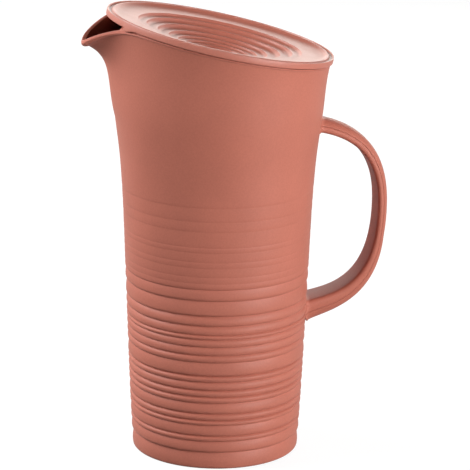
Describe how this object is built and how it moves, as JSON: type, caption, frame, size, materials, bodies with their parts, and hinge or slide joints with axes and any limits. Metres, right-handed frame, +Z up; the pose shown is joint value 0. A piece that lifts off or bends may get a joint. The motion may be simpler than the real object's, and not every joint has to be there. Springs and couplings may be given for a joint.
{
  "type": "lidded serving pitcher",
  "caption": "Tall tapered plastic pitcher with ring grooves round the lower body, a beak spout, a loop handle and a lift-off dished lid in an oblique plane.",
  "frame": {"origin": "centre of the flat underside", "axes": "+Z up, +X towards the handle, -X towards the spout"},
  "size_m": [0.1868, 0.137, 0.2702],
  "materials": {
    "body_plastic": "satin terracotta, fine moulded texture",
    "handle_plastic": "satin terracotta, fine moulded texture",
    "handle_cover_plastic": "satin terracotta, fine moulded texture",
    "lid_plastic": "satin terracotta, smooth dish",
    "collar_plastic": "satin terracotta"
  },
  "bodies": {
    "jug": {"jug_body": "body_plastic", "handle_grip": "handle_plastic", "handle_cover": "handle_cover_plastic"},
    "lid": {"lid": "lid_plastic", "lid_collar": "collar_plastic"}
  },
  "joints": [
    {"name": "lid_lift", "type": "slide", "parent": "jug", "child": "lid", "axis": [0.2096, 0, 0.9778], "range_m": [0, 0.12]}
  ]
}
